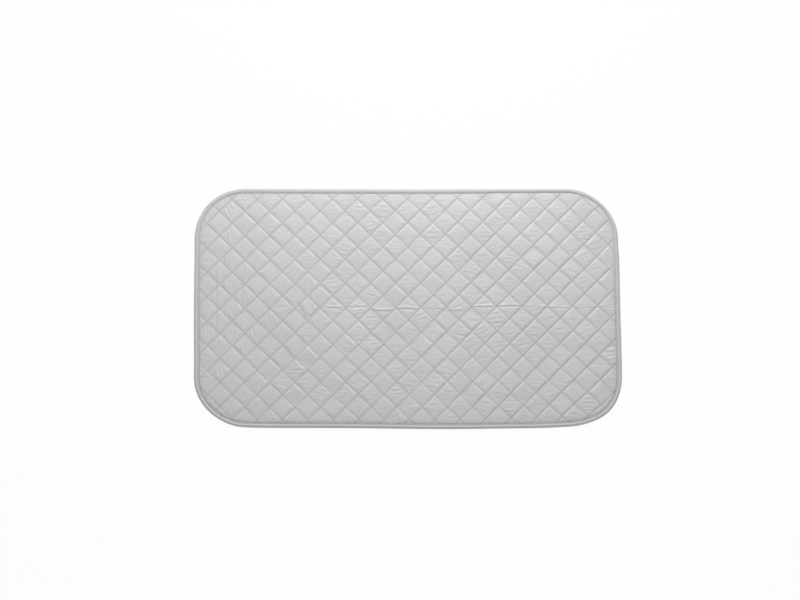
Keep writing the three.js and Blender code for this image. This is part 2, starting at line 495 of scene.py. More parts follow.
def mixed(tree, first, second, share):
    """Two tones mixed: that share of the first, and the rest of the second."""
    rest = math_node(tree, "MULTIPLY", second, 1 - share)
    return math_node(tree, "MULTIPLY_ADD", first, share, rest)


def tinted(tree, colour, mask, amount):
    """The colour, darker by amount where mask is 0 and lighter by it where mask is 1."""
    dark = tuple(part * (1 - amount) for part in colour) + (1,)
    light = tuple(part * (1 + amount) for part in colour) + (1,)
    return place(tree, "ShaderNodeMix", {0: mask, 6: dark, 7: light}, data_type="RGBA").outputs[2]


def bumped(tree, height, strength, distance, **more):
    """The direction that a surface faces with a fine relief on it."""
    inputs = {"Strength": strength, "Distance": distance, "Height": height, **more}
    return place(tree, "ShaderNodeBump", inputs).outputs[0]


def surfaced(tree, finish):
    """Ends a material in a surface with the given finish."""
    surface = place(tree, "ShaderNodeBsdfPrincipled", finish)
    place(tree, "ShaderNodeOutputMaterial", {"Surface": surface.outputs[0]})


backing_cotton = fresh_material("backing_cotton")
tree = backing_cotton.node_tree
where = cloth_place(tree)
weave = woven(tree, where, threads=1500.0, slub=0.9)
pucker = puckered(tree, reach=0.07)
# The backing's tone: a soft drift, with the weave's painted shade between the threads.
tone = mixed(tree, noise(tree, where, scale=9.0, detail=2.0), weave.outputs["Shade"], share=0.6)
relief = math_node(tree, "MULTIPLY_ADD", pucker.outputs["Pucker"], COTTON_PUCKER, weave.outputs["Height"])
surfaced(
    tree,
    {
        "Base Color": tinted(tree, BACKING_COLOUR, tone, amount=0.22),
        "Roughness": 0.9,
        "Sheen Weight": 0.15,
        "Sheen Roughness": 0.6,
        "Normal": bumped(tree, relief, strength=0.7, distance=COTTON_RELIEF),
    },
)

backing_lattice = quilt_lattice(BACKING_STEPS, RIM_INSET)
backing_points = at_heights(backing_lattice, backing_underside(backing_lattice) + BACKING_THICKNESS)
backing = added("backing", lattice_mesh("backing", backing_lattice, backing_points))
given_thickness(backing, BACKING_THICKNESS)
dressed(backing, backing_cotton, "cotton_backing", "backing_rear", "backing_front")


# Top cover.
# One piece of cotton coated with aluminium, silver-grey with a soft metallic sheen. It is cut a little larger
# than the pad and quilted down over the wadding, so puffs and small wrinkles stand up between the seams.
COVER_STEP_COUNT = 20
PUFF_STRIDE = 2
UNDERSIDE_STRIDE = 4
DIP_BAND = 24 * MM
LOW_CELL = 2 * MM
LOW_REACH = 2
SEAM_CLUSTERING = 0.3
COVER_THICKNESS = 0.22 * MM
SEAM_TOP = 3.1 * MM
COVER_RIM_TOP = 1.3 * MM
COVER_RIM_TOP_REAR = 3.0 * MM
RIM_RISE_SPAN = (-50 * MM, 235 * MM)
TAPE_INNER_EDGE = 10.4 * MM
FINE_OUTSIDE = 2 * MM
FINE_INSIDE = 5 * MM
UNDER_TAPE_DROP = 0.2 * MM
UNDER_TAPE_SLOPE = 1.2 * MM
TUCK_STEEP = 1.6 * MM
TUCK_STEEP_SHARE = 0.55
TUCK_EASY = 6.5 * MM
TUCK_EASY_REAR = 5 * MM
CROWN_RISE = 0.9 * MM
CROWN_SOFTNESS = 0.9 * MM
NOTCH_DEPTH = 0.6 * MM
NOTCH_HALF_WIDTH = 1.0 * MM
VALLEY_HALF_WIDTH = 3.6 * MM
RIGHT_SPAN = (-0.15, 0.30)
RISING_PULL = 0.8
RISING_PULL_MORE = 1.7
FALLING_PULL = 0.85
FALLING_PULL_LESS = 0.05
FRONT_SPAN = (-0.05, 0.20)
WRINKLE_FREE = 6 * MM
FRONT_WRINKLES = 0.55
RIGHT_WRINKLES = 0.3
HIGHEST_WRINKLE = 5.55 * MM
FOLD_FREE = 4 * MM
FOLD_AT_SEAM = 0.35
FOLD_FADE_IN = (-0.02, 0.22)
FOLD_FADE_OUT = (0.78, 1.02)
# Painted shade along the cover's seams: how much it darkens the colour, how much more on the rising seams
# towards the right, and where across the cut cloth, in metres, that extra grows.
SEAM_SHADE = 0.13
RISING_SHADE_MORE = 0.16
SHADE_FROM = 0.35
SHADE_TO = 0.80
CRINKLE_STRETCH = (0.45, 1.0, 1.0)
CRINKLE_HEIGHT = 0.58 * MM
SILVER_PUCKER = 1.2
SILVER_RELIEF = 0.1 * MM
LEAST_ROUGHNESS = 0.42
ROUGHNESS_DRIFT = 0.14
COVER_COLOUR = (0.542, 0.542, 0.547)
# The folds of the cover, in mm: where each starts and ends, how far it bows, its width, the height of its
# ridge and valley, and how deep its line is dented. Storage left all but the last, a groove beside the tape.
STORAGE_FOLDS = (
    (-166, 0, -120, -1, 0.5, 1.8, 0.55, 0),
    (-124, 1, -74, 1.5, 0.8, 1.8, 0.6, 0),
    (-80, -5, -20, -5.5, -0.8, 1.8, 0.8, 0),
    (-32, -2, 26, -3, 0.4, 1.8, 0.7, 0),
    (30, -3, 72, -2, 0.3, 1.8, 0.35, 0),
    (72, -7, 118, -6, 0.5, 1.8, 0.5, 0),
    (122, 1, 178, 1.5, 0.5, 1.8, 0.75, 0),
    (168, 2, 240, 3, 0.5, 1.8, 0.8, 0),
    (238, 0, 290, -1, 0.4, 1.8, 0.3, 0),
    (278, -1, 324, -1.5, 0.4, 1.8, 0.5, 0),
    (330, 0, 400, 1, 0.0, 1.8, 0.25, 0),
    (-219, 16, -199, -22, 1.0, 5.5, 0.95, 0.2),
    (-193, 66, -190, 0, 1.5, 2.6, 0.6, 0),
    (-191, -12, -192, -70, 1.5, 2.6, 0.5, 0),
    (-382, 96, -379, -70, 3.0, 2.0, 0.6, 0),
    (-362, 120, -364, 20, -2.0, 2.0, 0.55, 0),
    (-345, 60, -342, -90, 2.0, 2.0, 0.55, 0),
    (-322, 110, -325, -20, -2.0, 2.0, 0.5, 0),
    (343, -225, 410, -158, -13.1, 1.7, 0.9, 0.3),
)
# The pinched end of the middle crease, in the same terms.
CREASE_PINCH = (-178, 2, -195, -19, 2.5, 1.3, -1.2, 0.5)
PINCH_PLACE = (-0.187, -0.008)
PINCH_REACH = 16 * MM

# How the cover is puffed up: a light cloth with air pressed under it, ten times as large as the real one.
ON_SEAM = 0.01 * MM
SEWN_RIM = 11 * MM
PUFF_SEED = 7
PUFF_START = 0.6 * MM
PUFF_JITTER = 0.03 * MM
PUFF_SCALE = 10.0
PUFF_FRAMES = 16
SPARE_CLOTH = 0.022
SPARE_CLOTH_MORE = 0.016
SPARE_CLOTH_SPAN = (-0.30, 0.05)
PUFF_CLOTH = {
    "quality": 5,
    "mass": 0.02,
    "air_damping": 3.0,
    "tension_stiffness": 30,
    "compression_stiffness": 30,
    "shear_stiffness": 12,
    "bending_stiffness": 0.05,
    "tension_damping": 5,
    "compression_damping": 5,
    "shear_damping": 5,
    "bending_damping": 0.5,
    "use_pressure": True,
    "uniform_pressure_force": 4.0,
}


def puffed(lattice):
    """The cover pressed up by the wadding, worked out as a cloth that is held along its seams and rim."""
    x, y = lattice["x"], lattice["y"]
    held = nearest_seam(lattice["rising"], lattice["falling"]) < ON_SEAM
    held |= inset_at(x, y) < SEWN_RIM
    dome = np.sin(lattice["rising"] * math.pi) ** 2 * np.sin(lattice["falling"] * math.pi) ** 2
    jitter = np.random.default_rng(PUFF_SEED).uniform(-1, 1, len(x)) * ~held
    start = at_heights(lattice, dome * PUFF_START + jitter * PUFF_JITTER) * PUFF_SCALE
    leftward = 1 - smooth_step(x, *SPARE_CLOTH_SPAN)
    cut = start.copy()
    cut[:, 0] *= 1 + SPARE_CLOTH + SPARE_CLOTH_MORE * leftward
    cut[:, 1] *= 1 + SPARE_CLOTH + SPARE_CLOTH_MORE * (1 - leftward)
    cut[:, 2] = 0

    mesh = bpy.data.meshes.new("cover_trial")
    mesh.from_pydata(start.tolist(), [], lattice["faces"].tolist())
    trial = added("cover_trial", mesh)
    trial.shape_key_add(name="laid")
    cut_key = trial.shape_key_add(name="cut")
    cut_key.data.foreach_set("co", cut.astype(np.float32).ravel())
    sewn = trial.vertex_groups.new(name="sewn")
    sewn.add(np.nonzero(held)[0].tolist(), 1.0, "REPLACE")

    cloth = trial.modifiers.new("puff", "CLOTH")
    cloth.settings.vertex_group_mass = "sewn"
    cloth.settings.rest_shape_key = cut_key
    for name, value in PUFF_CLOTH.items():
        setattr(cloth.settings, name, value)
    cloth.settings.effector_weights.gravity = 0
    cloth.collision_settings.use_collision = False
    cloth.collision_settings.use_self_collision = False
    cloth.point_cache.frame_start = 1
    cloth.point_cache.frame_end = PUFF_FRAMES
    for step in range(1, PUFF_FRAMES + 1):
        scene.frame_set(step)
    result = evaluated_mesh(trial)
    points = mesh_points(result) / PUFF_SCALE
    scene.frame_set(1)
    bpy.data.objects.remove(trial)
    bpy.data.meshes.remove(result)
    return points


def fold_line(x, y, fold):
    """One fold of the cloth: a ridge beside a valley, or a dent, fading out at both ends of its line."""
    start_x, start_y, end_x, end_y, bow, width, height, depth = (value * MM for value in fold)
    length = math.hypot(end_x - start_x, end_y - start_y)
    way_x, way_y = (end_x - start_x) / length, (end_y - start_y) / length
    along = ((x - start_x) * way_x + (y - start_y) * way_y) / length
    off_line = (y - start_y) * way_x - (x - start_x) * way_y - 4 * bow * along * (1 - along)
    widths_off = off_line / width
    fade = smooth_step(along, *FOLD_FADE_IN) * (1 - smooth_step(along, *FOLD_FADE_OUT))
    return fade * (height * widths_off * math.sqrt(math.e) - depth) * np.exp(-0.5 * widths_off * widths_off)


def outline_stations(spacing):
    """Places round the pad's edge, evenly spaced: points, outward directions and how far along they are."""
    straight_x = 2 * (half_length - CORNER_RADIUS)
    straight_y = 2 * (half_depth - CORNER_RADIUS)
    turn = CORNER_RADIUS * math.pi / 2
    perimeter = 2 * (straight_x + straight_y) + 4 * turn
    spans = (straight_y / 2, turn, straight_x, turn, straight_y, turn, straight_x, turn, straight_y / 2)
    count = round(perimeter / spacing)
    stations = np.arange(count) * perimeter / count
    places, outward = [], []
    for along in stations:
        for side, span in enumerate(spans):
            if along <= span:
                break
            along -= span
        quarter = (side + 1) // 2
        corner = side % 2 == 1
        angle = (quarter - 1) * math.pi / 2 + along / CORNER_RADIUS if corner else quarter * math.pi / 2
        facing = np.array((math.cos(angle), math.sin(angle)))
        if corner:
            sign_x, sign_y = ((1, 1), (-1, 1), (-1, -1), (1, -1))[quarter - 1]
            core = np.array((sign_x * straight_x / 2, sign_y * straight_y / 2))
            places.append(core + facing * CORNER_RADIUS)
        else:
            heading = np.array((-math.sin(angle), math.cos(angle)))
            from_middle = along if side == 0 else along - (straight_x / 2 if quarter % 2 else straight_y / 2)
            reach = half_depth if quarter % 2 else half_length
            places.append(facing * reach + heading * from_middle)
        outward.append(facing)
    return np.array(places), np.array(outward), stations, perimeter


# The gathers that the tape pulls up in the cover: how far in they begin and reach, and the range or spread of
# their lengths, bows, widths and heights, in mm.
GATHER_SEED = 31
GATHER_COUNT = 260
GATHER_STATION = 2 * MM
GATHER_START = TAPE_INNER_EDGE - 4 * MM
GATHER_BAND = 40 * MM
GATHER_LEAN = 0.25
GATHER_LENGTH = (12, 30)
GATHER_BOW = 0.6
GATHER_WIDTH = (1.3, 2.1)
GATHER_HEIGHT = 0.3


def edge_gathers():
    """Short folds square to the edge, which the stitching of the tape pulls up in the cover."""
    luck = np.random.default_rng(GATHER_SEED)
    places, outward, _, _ = outline_stations(GATHER_STATION)
    gathers = []
    for spot in luck.choice(len(places), GATHER_COUNT, replace=False):
        along = np.array((-outward[spot, 1], outward[spot, 0]))
        start = places[spot] - outward[spot] * GATHER_START
        heading = outward[spot] + along * luck.normal(0, GATHER_LEAN)
        end = start - heading * luck.uniform(*GATHER_LENGTH) * MM
        bow = luck.normal(0, GATHER_BOW)
        width = luck.uniform(*GATHER_WIDTH)
        height = luck.normal(0, GATHER_HEIGHT)
        gathers.append((*start / MM, *end / MM, bow, width, height, 0))
    return gathers


# The small wrinkles inside the puffs: the odds of none to four of them in a puff, then the range or spread of
# their sizes in mm, of their leans and of the puff's own tilt. The bow is a curvature.
WRINKLE_SEED = 23
SEAM_ROUNDING = 1e-6
UPRIGHT_SPAN = (-0.34, -0.12)
UPRIGHT_MORE = 1.3
WRINKLE_COUNT_ODDS = (0.06, 0.14, 0.28, 0.30, 0.22)
WRINKLE_SIDE_ODDS = (0.3, 0.7)
WRINKLE_SPACING = (5.5, 9.0)
WRINKLE_HEIGHT = (0.14, 0.82)
WRINKLE_SHARE = (0.5, 1)
WRINKLE_WIDTH = (1.2, 1.9)
WRINKLE_REACH = (6, 13)
WRINKLE_STRAY = 0.8
WRINKLE_OFF_CENTRE = 4
WRINKLE_BOW = 5.0
WRINKLE_LEAN = 0.22
PUFF_TILT = 0.02


def cell_wrinkles(lattice):
    """Small wrinkles inside each puff: upright ones in the left third of the pad, level ones in the rest."""
    luck = np.random.default_rng(WRINKLE_SEED)
    rise = np.zeros(len(lattice["x"]))
    row = np.floor(lattice["rising"] + SEAM_ROUNDING).astype(int)
    column = np.floor(lattice["falling"] + SEAM_ROUNDING).astype(int)
    order = np.lexsort((column, row))
    edges = np.nonzero(np.diff(row[order]) | np.diff(column[order]))[0] + 1
    for cell in np.split(order, edges):
        x, y = lattice["x"][cell], lattice["y"][cell]
        mid_x, mid_y = x.mean(), y.mean()
        upright = luck.random() < 1 - smooth_step(mid_x, *UPRIGHT_SPAN)
        lean = luck.normal(0, WRINKLE_LEAN) + (math.pi / 2 if upright else 0)
        along = (x - mid_x) * math.cos(lean) + (y - mid_y) * math.sin(lean)
        across = (y - mid_y) * math.cos(lean) - (x - mid_x) * math.sin(lean)
        count = luck.choice(len(WRINKLE_COUNT_ODDS), p=WRINKLE_COUNT_ODDS)
        spacing = luck.uniform(*WRINKLE_SPACING) * MM
        strength = luck.uniform(*WRINKLE_HEIGHT) * MM * (UPRIGHT_MORE if upright else 1.0)
        strength *= luck.choice((-1, 1), p=WRINKLE_SIDE_ODDS)
        bow = luck.normal(0, WRINKLE_BOW)
        for line in range(count):
            middle = (line - (count - 1) / 2) * spacing + luck.normal(0, WRINKLE_STRAY) * MM
            width = luck.uniform(*WRINKLE_WIDTH) * MM
            centre = luck.normal(0, WRINKLE_OFF_CENTRE) * MM
            reach = luck.uniform(*WRINKLE_REACH) * MM
            widths_off = (across - middle - bow * (along - centre) ** 2) / width
            fade = np.exp(0.5 - 0.5 * widths_off * widths_off - ((along - centre) / reach) ** 2)
            rise[cell] += strength * luck.uniform(*WRINKLE_SHARE) * widths_off * fade
        tilt_x, tilt_y = luck.normal(0, PUFF_TILT, 2)
        rise[cell] += tilt_x * (x - mid_x) + tilt_y * (y - mid_y)
    return rise


def evened(fine_lattice, coarse_lattice, values):
    """Values known on every second line of a lattice, filled in between by a curve through four of them."""
    size = len(coarse_lattice["marks"])
    grid = np.zeros(size * size)
    grid[coarse_lattice["used"]] = values
    grid = grid.reshape(size, size)
    for _ in range(2):
        before, after, beyond = np.roll(grid, 1, 0), np.roll(grid, -1, 0), np.roll(grid, -2, 0)
        between = (9 * (grid + after) - before - beyond) / 16
        grid = np.stack([grid, between], axis=1).reshape(-1, grid.shape[1]).T
    return grid.ravel()[fine_lattice["used"]]


cover_ramp = np.arange(COVER_STEP_COUNT) / COVER_STEP_COUNT
cover_steps = cover_ramp - SEAM_CLUSTERING * np.sin(2 * math.pi * cover_ramp) / (2 * math.pi)
cover_lattice = quilt_lattice(cover_steps, RIM_INSET)
cover_x, cover_y = cover_lattice["x"], cover_lattice["y"]
cover_points = at_heights(cover_lattice, np.zeros(len(cover_x)))
puff_lattice = quilt_lattice(cover_steps[::PUFF_STRIDE], RIM_INSET)
puff_shift = puffed(puff_lattice)
puff_shift[:, 0] -= puff_lattice["x"]
puff_shift[:, 1] -= puff_lattice["y"]
for axis in range(3):
    cover_points[:, axis] += evened(cover_lattice, puff_lattice, puff_shift[:, axis])
toward_right = smooth_step(cover_x, *RIGHT_SPAN)
toward_front = smooth_step(-cover_y, *FRONT_SPAN)
to_seam = nearest_seam(cover_lattice["rising"], cover_lattice["falling"])
creased = cell_wrinkles(cover_lattice) * smooth_step(to_seam, 0, WRINKLE_FREE)
creased *= 1 + FRONT_WRINKLES * toward_front + RIGHT_WRINKLES * toward_right
crown = CROWN_RISE * np.tanh(cover_points[:, 2] / CROWN_SOFTNESS)
rising_pull = RISING_PULL + RISING_PULL_MORE * toward_right
rising_pull *= np.exp(-seam_distance(cover_lattice["rising"]) / NOTCH_HALF_WIDTH)
falling_pull = FALLING_PULL - FALLING_PULL_LESS * toward_right
falling_pull *= np.exp(-seam_distance(cover_lattice["falling"]) / NOTCH_HALF_WIDTH)
thread_pull = np.maximum(rising_pull, falling_pull)
valley = np.exp(-((to_seam / VALLEY_HALF_WIDTH) ** 2))
notch = NOTCH_DEPTH * (1 - 0.5 * thread_pull - 0.5 * valley)
cover_points[:, 2] = SEAM_TOP + crown + notch + creased


def beside_tape_or_pinch(x, y):
    """Whether a place lies where the cover dips to the tape, or at the pinched end of the crease."""
    past_tape = inset_at(x, y) - TAPE_INNER_EDGE
    beside_tape = (past_tape > -FINE_OUTSIDE) & (past_tape < FINE_INSIDE)
    at_pinch = np.hypot(x - PINCH_PLACE[0], y - PINCH_PLACE[1]) < PINCH_REACH
    return beside_tape | at_pinch


def refined(mesh, chosen):
    """Cuts the chosen part of a cloth twice as fine."""
    points = mesh_points(mesh)
    inside = chosen(points[:, 0], points[:, 1])
    shape = bmesh.new()
    shape.from_mesh(mesh)
    cut = [edge for edge in shape.edges if all(inside[point.index] for point in edge.verts)]
    bmesh.ops.subdivide_edges(shape, edges=cut, cuts=1, use_grid_fill=True)
    shape.to_mesh(mesh)
    shape.free()


def tucked(points):
    """Heights of the cover once its edge is sewn down under the tape: steep beside it, then easing off."""
    toward_rear = smooth_step(points[:, 1], *RIM_RISE_SPAN)
    rim_top = COVER_RIM_TOP + (COVER_RIM_TOP_REAR - COVER_RIM_TOP) * toward_rear
    past_tape = inset_at(points[:, 0], points[:, 1]) - TAPE_INNER_EDGE
    rim_top -= UNDER_TAPE_DROP * smooth_step(-past_tape, 0, UNDER_TAPE_SLOPE)
    past_tape = np.maximum(past_tape, 0)
    steep = 1 - np.exp(-past_tape / TUCK_STEEP)
    easy = 1 - np.exp(-past_tape / (TUCK_EASY + TUCK_EASY_REAR * toward_rear))
    risen = easy + TUCK_STEEP_SHARE * (1 - toward_rear) * (steep - easy)
    return rim_top + (points[:, 2] - rim_top) * risen


def finished_cover(points):
    """The puffed cover with its storage folds, its gathered edge and its rim sewn down."""
    x, y = points[:, 0], points[:, 1]
    folds = sum(fold_line(x, y, fold) for fold in STORAGE_FOLDS)
    edge = np.nonzero(inset_at(x, y) < GATHER_BAND)[0]
    folds[edge] += sum(fold_line(x[edge], y[edge], fold) for fold in edge_gathers())
    freedom = smooth_step(nearest_seam(*seam_marks(x, y)), 0, FOLD_FREE)
    folds *= FOLD_AT_SEAM + (1 - FOLD_AT_SEAM) * freedom
    finished = points.copy()
    finished[:, 2] += folds + fold_line(x, y, CREASE_PINCH)
    finished[:, 2] = np.minimum(finished[:, 2], HIGHEST_WRINKLE)
    finished[:, 2] = tucked(finished)
    return finished


sewn_points = finished_cover(cover_points)
cover_face = lattice_mesh("cover_face", cover_lattice, cover_points)
refined(cover_face, beside_tape_or_pinch)
points_moved(cover_face, finished_cover(mesh_points(cover_face)))


def underside_lattice(lattice, points, stride, steps, rim_inset):
    """Every so many lines of a lattice, each point as low as the lowest of the full lattice near it."""
    coarse = quilt_lattice(steps, rim_inset)
    size = len(lattice["marks"])
    heights = np.full(size * size, COVER_RIM_TOP)
    heights[lattice["used"]] = points[:, 2]
    heights = heights.reshape(size, size)
    for axis in (0, 1):
        heights = np.min([np.roll(heights, step, axis) for step in range(1 - stride, stride)], axis=0)
    row, column = np.divmod(coarse["used"], len(coarse["marks"]))
    return coarse, heights[row * stride, column * stride]


def along_tape(x, y):
    """Whether a place lies in the band along the tape where the cover dips down to it."""
    return inset_at(x, y) < DIP_BAND


def low_cell(points):
    """Which cell of the table of low heights each place falls in."""
    column = ((points[:, 0] + half_length) / LOW_CELL).astype(int)
    row = ((points[:, 1] + half_depth) / LOW_CELL).astype(int)
    return column, row


def low_heights(mesh):
    """A table of how low a cloth comes in each small cell and the cells round it."""
    points = mesh_points(mesh)
    size = (int(2 * half_length / LOW_CELL) + 1, int(2 * half_depth / LOW_CELL) + 1)
    low = np.full(size, HIGHEST_WRINKLE)
    np.minimum.at(low, low_cell(points), points[:, 2])
    for axis in (0, 1):
        low = np.min([np.roll(low, step, axis) for step in range(-LOW_REACH, LOW_REACH + 1)], axis=0)
    return low


def held_below(mesh, low, drop):
    """Holds a hidden face some way below the cover in the band where that dips down to the tape."""
    points = mesh_points(mesh)
    in_band = along_tape(points[:, 0], points[:, 1])
    ceiling = np.where(in_band, low[low_cell(points)] - drop, HIGHEST_WRINKLE)
    points[:, 2] = np.minimum(points[:, 2], ceiling)
    points_moved(mesh, points)


def joined_at_rim(name, upper, lower):
    """A closed piece from an upper and a lower face whose rims lie on the same line."""
    shape = bmesh.new()
    shape.from_mesh(lower)
    bmesh.ops.reverse_faces(shape, faces=shape.faces[:])
    shape.from_mesh(upper)
    bmesh.ops.bridge_loops(shape, edges=[edge for edge in shape.edges if edge.is_boundary])
    mesh = bpy.data.meshes.new(name)
    shape.to_mesh(mesh)
    shape.free()
    mesh.shade_smooth()
    return added(name, mesh)


under_lattice, under_top = underside_lattice(
    cover_lattice, sewn_points, UNDERSIDE_STRIDE, cover_steps[::UNDERSIDE_STRIDE], RIM_INSET
)
under_points = at_heights(under_lattice, under_top - COVER_THICKNESS)
cover_back = lattice_mesh("cover_back", under_lattice, under_points)
refined(cover_back, along_tape)
refined(cover_back, along_tape)
cover_low = low_heights(cover_face)
held_below(cover_back, cover_low, COVER_THICKNESS)
cover = joined_at_rim("top_cover", cover_face, cover_back)

silver_cloth = fresh_material("silver_cloth")
tree = silver_cloth.node_tree
where = cloth_place(tree)
weave = woven(tree, where, threads=2200.0, slub=0.5)
pucker = puckered(tree, reach=0.032)
drift = noise(tree, where, scale=7.0, detail=3.0)
# The cover's tone: a soft drift, with the weave's painted shade between the threads.
tone = mixed(tree, drift, weave.outputs["Shade"], share=0.6)
silver_tint = tinted(tree, COVER_COLOUR, tone, amount=0.10)
# Painted shade: the cover's colour is darkened beside the seams, standing in for their grooves, and more
# beside the rising seams towards the right.
across = place(tree, "ShaderNodeSeparateXYZ", {0: where}).outputs[0]
shade_more_rightward = place(
    tree,
    "ShaderNodeMapRange",
    {
        "Value": across,
        "From Min": SHADE_FROM,
        "From Max": SHADE_TO,
        "To Min": 0.0,
        "To Max": RISING_SHADE_MORE,
    },
)
rising_shade = math_node(tree, "ADD", shade_more_rightward.outputs[0], SEAM_SHADE)
rising_shade = math_node(tree, "MULTIPLY", pucker.outputs["Rising Nearness"], rising_shade)
falling_shade = math_node(tree, "MULTIPLY", pucker.outputs["Falling Nearness"], SEAM_SHADE)
seam_shade = math_node(tree, "SUBTRACT", 1.0, math_node(tree, "MAXIMUM", rising_shade, falling_shade))
silver_colour = place(
    tree,
    "ShaderNodeMix",
    {0: 1.0, 6: silver_tint, 7: seam_shade},
    data_type="RGBA",
    blend_type="MULTIPLY",
)
stretched = place(tree, "ShaderNodeMapping", {0: where, "Scale": CRINKLE_STRETCH}).outputs[0]
crinkle = noise(tree, stretched, scale=230.0, detail=2.0)
crinkled = bumped(tree, crinkle, strength=1.0, distance=CRINKLE_HEIGHT)
relief = math_node(tree, "MULTIPLY_ADD", pucker.outputs["Pucker"], SILVER_PUCKER, weave.outputs["Height"])
surfaced(
    tree,
    {
        "Base Color": silver_colour.outputs[2],
        "Metallic": 0.15,
        "Specular IOR Level": 0.25,
        "Roughness": math_node(tree, "MULTIPLY_ADD", drift, ROUGHNESS_DRIFT, LEAST_ROUGHNESS),
        "Normal": bumped(tree, relief, strength=0.5, distance=SILVER_RELIEF, Normal=crinkled),
    },
)
dressed(cover, silver_cloth, "silver_cloth", "top_cover_rear", "top_cover_front")


# Wadding.
# One sheet of loose white fibre between the two cloths, which is never seen. The seams press it flat, and it
# fills the puffs between them up to the cover. Its edge stops short of the tape.
WADDING_GAP = 0.06 * MM
WADDING_EDGE_GAP = 0.45 * MM
WADDING_RIM_INSET = 18 * MM
LEAST_WADDING = 0.08 * MM
CREASE_PRESS = 0.5 * MM
CREASE_REACH = 9 * MM
FLUFF_RELIEF = 0.4 * MM
WADDING_COLOUR = (0.84, 0.83, 0.80)

wadding_fibre = fresh_material("wadding_fibre")
tree = wadding_fibre.node_tree
where = place(tree, "ShaderNodeTexCoord").outputs["Object"]
fluff = noise(tree, where, scale=400.0, detail=5.0, roughness=0.7)
tone = mixed(tree, fluff, noise(tree, where, scale=40.0, detail=2.0), share=0.5)
surfaced(
    tree,
    {
        "Base Color": tinted(tree, WADDING_COLOUR, tone, amount=0.12),
        "Roughness": 0.95,
        "Sheen Weight": 0.3,
        "Normal": bumped(tree, fluff, strength=0.8, distance=FLUFF_RELIEF),
    },
)

wadding_lattice, wadding_ceiling = underside_lattice(
    cover_lattice, sewn_points, UNDERSIDE_STRIDE, cover_steps[::UNDERSIDE_STRIDE], WADDING_RIM_INSET
)
upper_points = at_heights(wadding_lattice, wadding_ceiling - COVER_THICKNESS - WADDING_GAP)
wadding_face = lattice_mesh("wadding_face", wadding_lattice, upper_points, reaches_tape=False)
held_below(wadding_face, cover_low, COVER_THICKNESS + WADDING_EDGE_GAP)
wadding_floor = backing_underside(wadding_lattice) + BACKING_THICKNESS + WADDING_GAP
lower_points = at_heights(wadding_lattice, wadding_floor)
wadding_back = lattice_mesh("wadding_back", wadding_lattice, lower_points, reaches_tape=False)
back_points = mesh_points(wadding_back)
back_points[:, 2] += CREASE_PRESS * np.exp(-((back_points[:, 1] / CREASE_REACH) ** 2))
back_points[:, 2] = np.minimum(back_points[:, 2], mesh_points(wadding_face)[:, 2] - LEAST_WADDING)
points_moved(wadding_back, back_points)
wadding = joined_at_rim("wadding", wadding_face, wadding_back)
dressed(wadding, wadding_fibre, "wadding_fibre", "wadding_rear", "wadding_front")


# Quilting stitches.
# Grey polyester thread, sewn through all the layers in straight parallel rows, rising and falling. The needle
# thread lies in the groove of each seam on the cover, and the bobbin thread in the channel below.
STITCH_LENGTH = 3.3 * MM
SMALLEST_STITCH = 0.9
LARGEST_STITCH = 1.08
THREAD_WIDTH = 0.6 * MM
THREAD_RELIEF = 0.06 * MM
THREAD_COLOUR = (0.42, 0.42, 0.425)
PLIES_ALONG = 7.0
PLIES_ROUND = 2.0
NEEDLE_LIFT = 0.18 * MM
BOBBIN_DROP = 0.2 * MM
ROW_END_INSET = 11.5 * MM
LEAST_ROW_POINTS = 5


def stitch_tree():
    """Stitches laid one after another along sewn lines: each is a short, tapered length of thread."""
    rows = node_group(
        "stitch_rows",
        "GeometryNodeTree",
        {
            "Sewn Lines": "Geometry",
            "Stitch Pitch": "Float",
            "Stitch Length": "Float",
            "Thread Width": "Float",
            "Seed": "Int",
            "Thread": "Material",
        },
        {"Stitches": "Geometry"},
    )
    given = place(rows, "NodeGroupInput")
    lines = place(rows, "GeometryNodeMeshToCurve", {"Mesh": given.outputs["Sewn Lines"]})
    spaced = place(
        rows,
        "GeometryNodeResampleCurve",
        {"Curve": lines.outputs[0], "Length": given.outputs["Stitch Pitch"]},
        mode="LENGTH",
    )
    shape = place(rows, "GeometryNodeMeshUVSphere", {"Segments": 5, "Rings": 3, "Radius": 0.5})
    wound = place(
        rows,
        "GeometryNodeStoreNamedAttribute",
        {"Geometry": shape.outputs["Mesh"], "Name": "thread", "Value": shape.outputs["UV Map"]},
        data_type="FLOAT2",
        domain="CORNER",
    )
    width = given.outputs["Thread Width"]
    size = place(rows, "ShaderNodeCombineXYZ", {0: width, 1: width, 2: given.outputs["Stitch Length"]})
    stitch = place(rows, "GeometryNodeTransform", {"Geometry": wound.outputs[0], "Scale": size.outputs[0]})
    heading = place(rows, "GeometryNodeInputTangent")
    turned = place(rows, "FunctionNodeAlignRotationToVector", {"Vector": heading.outputs[0]}, axis="Z")
    uneven = place(
        rows,
        "FunctionNodeRandomValue",
        {2: SMALLEST_STITCH, 3: LARGEST_STITCH, "Seed": given.outputs["Seed"]},
        data_type="FLOAT",
    )
    sewn = place(
        rows,
        "GeometryNodeInstanceOnPoints",
        {
            "Points": spaced.outputs[0],
            "Instance": stitch.outputs[0],
            "Rotation": turned.outputs[0],
            "Scale": uneven.outputs[1],
        },
    )
    real = place(rows, "GeometryNodeRealizeInstances", {"Geometry": sewn.outputs[0]})
    soft = place(rows, "GeometryNodeSetShadeSmooth", {"Geometry": real.outputs[0]})
    dyed = place(
        rows,
        "GeometryNodeSetMaterial",
        {"Geometry": soft.outputs[0], "Material": given.outputs["Thread"]},
    )
    place(rows, "NodeGroupOutput", {0: dyed.outputs[0]})
    return rows


